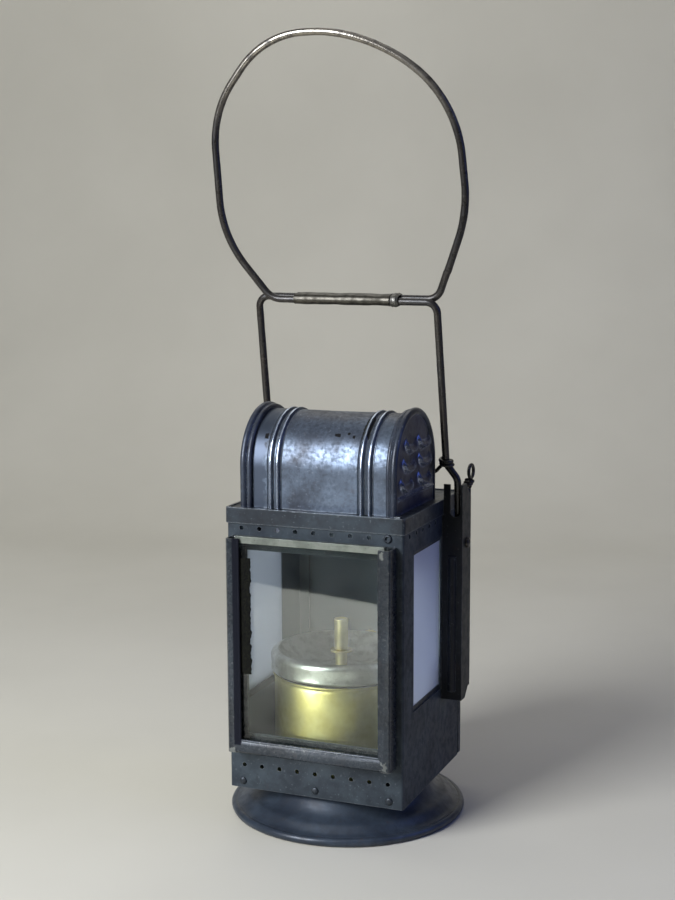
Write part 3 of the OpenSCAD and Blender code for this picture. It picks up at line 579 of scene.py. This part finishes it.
# The beads' radius, and how deep, how far off and how wide the grooves beside each are
BEAD_R, GROOVE_DEEP, GROOVE_OFF, GROOVE_WIDE = 1.25, 0.42, 1.65, 0.42
# The end plates: radius, place of the outer face, sheet and how far it bows
END_R, END_X, END_SHEET, END_BOW = 28.9, 43.9, 0.6, 0.25
# The rib pressed across each plate above the cap: height above the ground, half of its width, how far
# it stands out and half of its length
RIB_Z, RIB_WIDE, RIB_HIGH, RIB_HALF = 182.6, 1.2, 1.2, 27
SCOOPS = ((-19, 209.8), (1.4, 209.8), (-23, 200), (2.4, 200), (-27, 190), (1, 190))


def barrel_dent(along, station):
    """Old knocks in the barrel, up to a quarter of a millimetre."""
    return 0.13 * np.sin(along / 9.1 + station / 13) * np.sin(station / 7.3 + 0.7) \
        + 0.10 * np.sin(along / 17.0 - station / 21.0 + 2.0)


def beaded_barrel():
    """The barrel's sheet carried over the arch. Its beads are half-round, with a crisp bell-shaped
    groove on both sides of each."""
    x = np.linspace(LEFT_IN - BARREL_HALF, BARREL_HALF, 400)
    bead = sum(np.sqrt(np.clip(BEAD_R ** 2 - (x - b) ** 2, 0, None))
               - GROOVE_DEEP * np.exp(-((np.abs(x - b) - GROOVE_OFF) / GROOVE_WIDE) ** 2) for b in BEAD_X)
    outer = np.stack([x, BARREL_R + bead], 1)
    inner = np.stack([x[::-1], (BARREL_R + bead - BARREL_SHEET)[::-1]], 1)
    make("hood_barrel_skin", [over_arch(np.vstack([outer, inner]), barrel_dent)], HOOD_TIN, "hood_barrel")


def scoop(y, z, at_y, at_z):
    """Height of a louvre: a lens less a lens set above it. The sheet leans out from the upper curve,
    and its free lip stands up steeply along the lower curve."""
    widened, lens_r, high, lip_run = 1.75, 5.6, 2.4, 0.9
    cut_r, cut_back, cut_up, lean_run = 3.9, 1.2, 3.4, 3.4
    lens = lens_r - np.hypot((y - at_y) / widened, z - at_z)
    cut = np.hypot((y - at_y - cut_back) / widened, z - at_z - cut_up) - cut_r
    return high * eased(lens / lip_run) * eased(cut / lean_run)


def end_plate(side):
    """The louvred end plate: rows across the arch at each height, the outer face of the sheet and
    then its inner face, pressed alike, closed at the top and along the bottom."""
    z = np.concatenate([np.linspace(HOOD_BASE, SPRING_Z, 40, endpoint=False),
                        SPRING_Z + END_R * np.sin(np.linspace(0, np.pi / 2, 110))])[:, None]
    half = np.where(z < SPRING_Z, END_R, np.sqrt(np.clip(END_R * END_R - (z - SPRING_Z) ** 2, 0, None)))
    across = np.linspace(-1, 1, 170)[None, :]
    y = HOOD_Y + across * half
    z = z + 0 * across
    rib = np.cos(np.clip((z - RIB_Z) / RIB_WIDE, -1, 1) * np.pi / 2) ** 2
    h = sum(scoop(y, z, *at) for at in SCOOPS)
    h = h + RIB_HIGH * rib * (np.abs(y - HOOD_Y) < RIB_HALF)
    h = h + END_BOW * waves(11 + side, 30)(np.stack([0 * y, y, z], -1))
    outer = np.stack([END_X + h, y, z], -1)
    inner = outer[:, ::-1] - [END_SHEET, 0, 0]
    loop = np.concatenate([outer, inner], 1)
    foot = loop[:1].copy()
    foot[..., 0] = END_X - END_SHEET / 2
    return grid(np.concatenate([foot, loop], 0), False, True)


def end_caps():
    """Both end caps: a rolled rim as one closed section over the arch, and the plate in it."""
    section = path([38.7, 28.6], [38.7, 29.5], arc(40.0, 29.6, 1.4, 178, 6, 14), [41.5, 29.6],
                   arc(43.1, 30.1, 1.9, 195, -95, 30), [42.6, 28.2], [41.2, 28.3])
    for side, name in ((-1, "hood_left_cap"), (1, "hood_right_cap")):
        shift = LEFT_IN if side < 0 else 0
        for kind, finish, (p, f) in (("rim", RIM_TIN, over_arch(section)),
                                     ("plate", END_TIN, end_plate(side))):
            make(name + "_" + kind, [(p * [side, 1, 1] + [shift, 0, 0], f)], finish, name, crease=40)


# Bail, drawn upright from its pivot

BAIL = [(-63.2, 0, 0), (-57.6, 0, 0), (-57.6, 0, 36.5), (-52.3, 0, 45), (-52.3, 2.1, 136.1),
        (51.5, 2.1, 135.5), (70, 2.1, 181.3), (67.4, 1.2, 236.4), (21.4, 0.4, 275), (-35.8, -0.4, 275),
        (-68.8, -1.3, 236.3), (-68.8, -2.1, 169.7), (-42.7, -2.1, 135.5), (52.3, -2.1, 134.7),
        (52.3, 0, 45), (58.4, 0, 36.5), (57.8, 0, 20), (57.6, 0, 0), (63.2, 0, 0)]
BENDS = [0, 3.2, 8, 8, 6, 8, 70, 60, 88, 50, 55, 60, 12, 6, 6, 7, 20, 3.2, 0]
STRAND_Y, LEG_X, LOOP_Z = 2.1, 52.3, 150
SLEEVE_X, GRIP_Z, GRIP_FALL = (-28.6, 26.4), 135.67, 0.0072


def peened_end(side):
    """One end of the wire, hammered to a shallow dome with a soft edge."""
    dome = path([0, 1.35], arc(0.9, 0.75, 0.6, 90, 0, 5) + [1.3, 0], [2.9, 0.0], [2.6, 0], [0, 0])
    back, up, out = around(dome, 28)
    return grid(on_bail(np.stack([side * (62.05 + out), back, up], -1)), True, True)


def bent_bail():
    """One wire along its route with rounded bends. The loop above the grip wanders a little, and the
    wire's thickness varies by a few hundredths of a millimetre."""
    line = route(BAIL, BENDS, 0.7)
    sway = waves(21, 55, 5)(line)[:, None] * np.array([1.0, 0.0, 0.3])
    line = line + 0.22 * sway * (line[:, 2:] > LOOP_Z)
    points, faces = tube(line, WIRE_R + 0.03 * waves(5, 9)(line), (0, 1, 0), 22)
    make("bail_wire_bent", [(on_bail(points), faces), peened_end(-1), peened_end(1)], BAIL_STEEL, "bail_wire")


def around_grip(x, r):
    """Rings round both strands of the grip, which falls a little to the right: at each place along x
    an oval of radius r about the two strands."""
    a = np.linspace(0, 2 * np.pi, 72, endpoint=False)[None, :]
    x, r = x[:, None] + 0 * a, r[:, None] + 0 * a
    y = r * np.cos(a) + STRAND_Y * np.clip(np.cos(a) * 3, -1, 1)
    z = GRIP_Z - GRIP_FALL * (x - SLEEVE_X[0]) + r * np.sin(a)
    return on_bail(np.stack([x, y, z], -1))


def hollow_on_grip(name, x, outer_r, inner_r, finish, node_name):
    """A hollow piece on the grip, from an outer radius at each x and one inner radius."""
    p = np.concatenate([around_grip(x, outer_r), around_grip(x[::-1], np.full_like(x, inner_r))])
    make(name, [grid(p, True, True)], finish, node_name)


def grip():
    """The sheet sleeve, uneven and flared at its ends, and the blob of solder at its right end."""
    x = np.linspace(*SLEEVE_X, 120)
    swell = 0.10 * np.sin(x / 4.1) + 0.07 * np.sin(x / 1.9 + 1) + 0.12 * (np.abs(x + 1.1) > 26.6)
    hollow_on_grip("grip_sleeve_rolled", x, 2.78 + swell, 2.42, SLEEVE_TIN, "grip_sleeve")
    x = np.linspace(26.7, 31.3, 30)
    bulge = 0.75 * np.sqrt(np.clip(1 - ((x - 29.0) / 2.4) ** 2, 0, 1)) + 0.1 * np.sin(x * 3)
    hollow_on_grip("grip_solder", x, 2.62 + bulge, 2.44, SOLDER, "grip_splice")


def twisted_tie():
    """Thin wire: nearly two turns round each leg, which swing outwards on their way down, then across
    behind the hood. The whole path is softened."""
    tie_turns, pitch, coil_r, top, swing_from = 1.95, 1.95, 3.15, 47.9, 47.3
    turns = np.linspace(0, tie_turns * 2 * np.pi, 90)
    height = top - pitch * turns / (2 * np.pi)
    out = np.clip(swing_from - height, 0, None) ** 2 / 16
    coil = np.stack([-LEG_X - out + coil_r * np.sin(turns), coil_r * np.cos(turns), height], 1)
    half = np.array([[-49.4, 4.2, 43.4], [-46.6, 5.2, 41.0], [-44.0, 5.8, 38.2], [-40, 6.0, 37.0]])
    across = np.vstack([half, [0, 6.0, 36.8], half[::-1] * [-1, 1, 1]])
    line = even(np.vstack([coil, across, coil[::-1] * [-1, 1, 1]]), 0.5)
    points, faces = tube(softened(line), 1.0, (0, 0.25, 1.0), 14)
    make("bail_tie_twisted", [(on_bail(points), faces)], BAIL_STEEL, "bail_tie_wire")


# Hinge pin

def eyed_pin():
    """The pin with its end drawn thinner and bent to an upright eye, and a wire wrapped round it below
    the eye."""
    pin_r, bent_r, bent_z = 1.28, 0.95, 175.5
    eye_x, eye_z, eye_wide, eye_high = 2.6, 185.1, 3.6, 3.8
    wrap_turns, wrap_r, wrap_z, wrap_high, wrap_lean = 2.6, 2.05, 176.4, 3.9, 2.0
    c, s = math.cos(math.radians(-4)), math.sin(math.radians(-4))
    a = np.linspace(-np.pi / 2, 1.5 * np.pi - 0.2, 100)
    eye = np.stack([eye_x - s * eye_wide * np.cos(a), c * eye_wide * np.cos(a),
                    eye_z + eye_high * np.sin(a)], 1)
    stem = np.array([[0, 0, 58.0], [0, 0, 175.0], [0.2, 0, 176.6], [1.3, 0, 179.0], [2.3, 0, 180.7]])
    line = even(np.vstack([stem, eye]), 0.4)
    thick = np.where(line[:, 2] < bent_z, pin_r, bent_r)
    shaft = tube(line + [HINGE_X, HINGE_Y, 0], thick, (c, s, 0), 18)
    a = np.linspace(0, 2 * np.pi * wrap_turns, 110)
    climb = a / a[-1]
    wrap = np.stack([wrap_lean * climb + wrap_r * np.cos(a), wrap_r * np.sin(a),
                     wrap_z + wrap_high * climb], 1)
    wrap = tube(even(wrap, 0.4) + [HINGE_X, HINGE_Y, 0], bent_r, (0, 0, 1), 14)
    make("hinge_pin_eye", [shaft, wrap], BAIL_STEEL, "hinge_pin")


# Generator

CAN_R, CAN_LOW, CAN_HIGH, GEN_SHEET = 37.0, 21.7, 79.0, 0.7
LID_R, LID_LOW, LID_Z = 39.0, CAN_HIGH + 1.1, 91.5


def spun_canister():
    """The brass vessel: a flat floor, a rounded lower corner, a straight wall and a rolled mouth."""
    line = path([0.01, CAN_LOW + 0.8], [CAN_R - 5, CAN_LOW + 0.8],
                arc(CAN_R - 2.6, CAN_LOW + 2.2, 2.2, 270, 360, 12), [CAN_R, 40], [CAN_R, 62],
                [CAN_R, CAN_HIGH - 3.8], arc(CAN_R + 0.9, CAN_HIGH - 2.1, 1.4, 210, 90, 14))
    make("canister_spun", [lathe(walled(line, GEN_SHEET), 180, GEN_X, GEN_Y)], BRASS, "carbide_canister")


def spun_lid():
    """The tinned lid: a rim band, a rounded shoulder and a dished top, with the valve's gland at the
    back."""
    line = path([LID_R - 7, LID_LOW + 0.8], [LID_R - 2.2, LID_LOW + 0.8], [LID_R - 1.2, LID_LOW],
                arc(LID_R - 1.6, LID_LOW + 1.6, 1.6, 290, 370, 10), [LID_R - 0.4, LID_LOW + 3.4],
                [LID_R - 0.2, LID_Z - 4.4], arc(LID_R - 3.4, LID_Z - 3.2, 3.2, 0, 78, 14),
                [35.0, LID_Z], [34.0, LID_Z - 0.8], [32.2, LID_Z - 3.2], arc(17, 94.6, 15, 318, 270, 20),
                [4.3, 80.5])
    gland_y, gland_z = GEN_Y + 36.4, 84.4
    right, up, back = around(path([0.01, 0], [2.9, 0], [2.9, 4.4], [2.5, 5], [0.01, 5]), 32)
    gland = grid(np.stack([GEN_X + right, gland_y + back, gland_z + up], -1), True, True)
    make("lid_spun", [lathe(walled(line, GEN_SHEET), 180, GEN_X, GEN_Y), gland], TINNED, "generator_lid")


def drawn_burner():
    """The upright brass tube with a small rolled mouth."""
    line = path([3.4, 55], [3.4, 90.4], [3.9, 90.8], [3.9, 105.4], [4.05, 105.6], [4.05, 106.6],
                arc(3.4, 107.1, 0.7, 0, 110, 6))
    make("burner_tube_drawn", [lathe(walled(line, 0.8), 64, GEN_X, GEN_Y)], TUBE_BRASS, "burner_tube")


# Packing of the front glass

def torn_packing():
    """The felt strip as four long edges, of which the two that show are torn."""
    left, front, back = -43.0, -54.35, -53.65
    z = np.linspace(86, 149, 130)[:, None]
    torn = waves(31, 5)(np.concatenate([z, z, z], 1))[:, None] * 0.4
    ragged = -33.6 + 0.35 * (z > 134) + torn
    edges = [(left + 0 * z, front), (ragged, front), (ragged, back), (left + 0 * z, back)]
    p = np.stack([np.concatenate([x, y + 0 * z, z], 1) for x, y in edges], 1)
    bottom, top = (row.mean(1, keepdims=True) + 0 * row for row in (p[:1], p[-1:]))
    make("packing_torn", [grid(np.concatenate([bottom, p, top]), False, True)], BLACK_FELT, "glass_packing")


# Rivets

def rivet_heads():
    """Three domed heads low on the front, and the rolled lip of a tubular rivet by the upper vents."""
    face_y = -47.05
    t = np.linspace(0, np.pi / 2, 10)
    dome = path([0, 0], np.stack([2.1 * np.cos(t) ** 0.8, 1.0 * np.sin(t)], 1))
    lip = path([1.05, 0.0], [1.05, 0.45], arc(1.45, 0.5, 0.4, 180, 90, 5), arc(1.45, 0.0, 0.9, 80, 0, 10))
    heads = []
    for x, z, section in ((-42.4, 23.4, dome), (0, 23.4, dome), (42.2, 23.4, dome), (41.5, 163.6, lip)):
        right, up, out = around(section, 32)
        heads.append(grid(np.stack([x + right, face_y - out, z + up], -1), section is lip, True))
    make("rivet_heads", heads, RIVET_STEEL, "body_rivets")


spun_foot()
beaded_barrel()
end_caps()
bent_bail()
grip()
twisted_tie()
eyed_pin()
spun_canister()
spun_lid()
drawn_burner()
torn_packing()
rivet_heads()

# Folded and cut pieces, each with its finish and how far its edges are rounded in mm
for name, finish, edge in (
        ("body_shell", TIN, 0.2), ("body_floor", TIN, 0.2), ("cap", CAP_TIN, 0.22),
        ("front_channel", CHANNEL_TIN, 0.2), ("left_bail_ear", SHADED_EAR_TIN, 0.2),
        ("right_bail_ear", SHADED_EAR_TIN, 0.2), ("rear_door", DOOR_TIN, 0.25), ("door_pull", CHANNEL_TIN, 0.2),
        ("door_knuckles", SHADED_EAR_TIN, 0.15), ("body_knuckles", SHADED_EAR_TIN, 0.15), ("glass_binding", BARE_TIN, 0.12),
        ("front_glass", GLASS, 0.15), ("left_opal_pane", OPAL, 0.15), ("right_opal_pane", OPAL, 0.15),
        ("left_pane_holder", RAIL_TIN, 0.1), ("right_pane_holder", RAIL_TIN, 0.1),
        ("smoke_baffle", RAIL_TIN, 0.15), ("generator_seat", RAIL_TIN, 0.15), ("lid_gasket", RUBBER, 0.1),
        ("water_cup", TINNED, 0.15), ("drip_tube", TUBE_BRASS, 0.1), ("drip_valve", TUBE_BRASS, 0.15),
        ("carbide_basket", TINNED, 0.15), ("felt_filter", FELT, 0.3), ("burner_washer", TUBE_BRASS, 0.15),
        ("burner_tip", STEATITE, 0.12)):
    dress(name, finish, edge)

# Studio

# The paper is turned 15.5 degrees, and its front edge shows as a line mirrored in the front glass. Its
# sizes are in millimetres, and the places of the lights and the camera in metres.
TURN = math.radians(15.5)
ALONG, BACK = np.array([math.cos(TURN), math.sin(TURN), 0]), np.array([-math.sin(TURN), math.cos(TURN), 0])
UP = np.array([0, 0, 1.0])
PAPER_FRONT, PAPER_BEND, PAPER_BEND_R, PAPER_TOP, PAPER_HALF = -479, 700, 500, 2600, 7000


def paper_sweep():
    """The floor's paper: one line, flat, then a quarter round, then upright, carried sideways."""
    t = np.linspace(0, np.pi / 2, 40)
    bend = np.stack([PAPER_BEND + PAPER_BEND_R * np.sin(t), PAPER_BEND_R * (1 - np.cos(t))], 1)
    line = path([PAPER_FRONT, 0], bend, [PAPER_BEND + PAPER_BEND_R, PAPER_TOP])
    wide = np.linspace(-PAPER_HALF, PAPER_HALF, 3)[None, :, None]
    points, faces = grid(wide * ALONG + line[:, :1, None] * BACK + line[:, 1:, None] * UP)
    mesh = bpy.data.meshes.new("paper sweep")
    mesh.from_pydata((points * MM).tolist(), [], faces[:, ::-1].tolist())
    smooth(mesh)
    return mesh


def backdrop_paper():
    """Matt grey-cream paper, with a faint broad cloud in its tone."""
    paper, tree, where = blank("matt backdrop paper")
    skin = node(tree, "ShaderNodeMix", {0: cloud(tree, where, 260, 0.3, 0.7), 6: colour("#c4c0b1"),
                                        7: colour("#cac6b7")}, 2, data_type="RGBA")
    shader = node(tree, "ShaderNodeBsdfPrincipled", {"Base Color": skin, "Roughness": 0.9})
    node(tree, "ShaderNodeOutputMaterial", {0: shader})
    return paper


floor = bpy.data.objects.new("paper sweep", paper_sweep())
bpy.context.scene.collection.objects.link(floor)
floor.data.materials.append(backdrop_paper())


def stand(name, data, x, y, z, at):
    """Puts a light or a camera at a place in metres, with its own three axes."""
    o = bpy.data.objects.new(name, data)
    bpy.context.scene.collection.objects.link(o)
    o.matrix_world = Matrix([[x[i], y[i], z[i], at[i]] for i in range(3)] + [[0, 0, 0, 1]])
    return o


def lamp(name, at, target, size, power, tint="#ffffff", deep=None):
    """A soft square or oblong light at a place in metres, facing its target."""
    light = bpy.data.lights.new(name, "AREA")
    light.shape, light.size, light.size_y = "RECTANGLE", size, deep or size
    light.energy, light.color = power, colour(tint)[:3]
    z = unit(np.asarray(at, float) - np.asarray(target, float))
    x = unit(np.cross((0, 0, 1), z)) if abs(z[2]) < 0.99 else ALONG
    stand(name, light, x, np.cross(z, x), z, at)


def snoot(name, at, target, degrees, power, blend, tint="#ffffff"):
    """A narrow round light at a place in metres, turned to its target."""
    light = bpy.data.lights.new(name, "SPOT")
    light.energy, light.color, light.shadow_soft_size = power, colour(tint)[:3], 0.03
    light.spot_size, light.spot_blend = math.radians(degrees), blend
    o = bpy.data.objects.new(name, light)
    bpy.context.scene.collection.objects.link(o)
    o.location = at
    o.rotation_euler = (Vector(target) - Vector(at)).to_track_quat("-Z", "Y").to_euler()


lamp("window light", (-0.40, -0.83, 0.60), (0, 0, 0.16), 0.42, 16.5, "#f2f6ff", 0.7)
lamp("wall light", (-0.3, 0.35, 1.5), (-0.3, 1.35, 1.1), 1.2, 5.2)
lamp("rear light", (-0.35, 0.85, 1.25), (0, 0, 0.15), 0.8, 2)
lamp("ceiling light", (0.0, -0.3, 2.2), (0, 0, 0), 1.4, 4)
lamp("blue side light", (0.95, 0.05, 0.55), (0, 0, 0.15), 0.9, 2.3, "#6384ff")

# One lights the paper in front of the lamp, out of the camera's view, for the glass and the lid to
# mirror. The others pick out the brass through the front glass.
snoot("front paper light", (-0.02, -0.53, 1.5), (-0.02, -0.53, 0), 22, 520, 1.0, "#eef3ff")
snoot("brass light", (-0.30, -0.60, 0.12), (-0.004, -0.042, 0.056), 4.8, 16, 0.5)
snoot("burner light", (-0.30, -0.60, 0.16), (-0.0016, -0.008, 0.098), 2.4, 15, 0.6)


def pale_room():
    """The light of a pale room, stronger from above. Where the camera looks past the paper, it sees
    an even grey."""
    world = bpy.data.worlds.new("studio")
    world.use_nodes = True
    tree = world.node_tree
    height = node(tree, "ShaderNodeSeparateXYZ", {0: node(tree, "ShaderNodeTexCoord")}, 2)
    glow = node(tree, "ShaderNodeMapRange", {"Value": height, "From Min": -0.1, "From Max": 0.8,
                                             "To Min": 0.03, "To Max": 0.12})
    glow = node(tree, "ShaderNodeMix", {0: node(tree, "ShaderNodeLightPath"), 2: glow, 3: 0.4})
    background = tree.nodes["Background"]
    background.inputs[0].default_value = colour("#d4dae2")
    tree.links.new(glow, background.inputs[1])
    return world


bpy.context.scene.world = pale_room()

# Camera fitted to the photograph: its place in metres, its turn left, down and over in degrees, and
# its focal length and the photograph's height in pixels
CAMERA_AT, CAMERA_TURNS = (0.303, -0.752, 0.318), (22.3, 8.2, -0.23)
FOCAL_PX, PHOTO_PX, SENSOR_MM = 1499, 900, 24.0

yaw, pitch, tilt = (math.radians(d) for d in CAMERA_TURNS)
ahead = np.array([-math.sin(yaw) * math.cos(pitch), math.cos(yaw) * math.cos(pitch), -math.sin(pitch)])
level = np.array([math.cos(yaw), math.sin(yaw), 0.0])
upright = np.cross(level, ahead)
right = math.cos(tilt) * level + math.sin(tilt) * upright
up = math.cos(tilt) * upright - math.sin(tilt) * level
camera = bpy.data.cameras.new("camera")
camera.sensor_fit, camera.sensor_height, camera.lens = "VERTICAL", SENSOR_MM, SENSOR_MM * FOCAL_PX / PHOTO_PX
camera.clip_start, camera.clip_end = 0.02, 20
bpy.context.scene.camera = stand("camera", camera, right, up, -ahead, CAMERA_AT)
bpy.context.scene.view_settings.view_transform = "Standard"
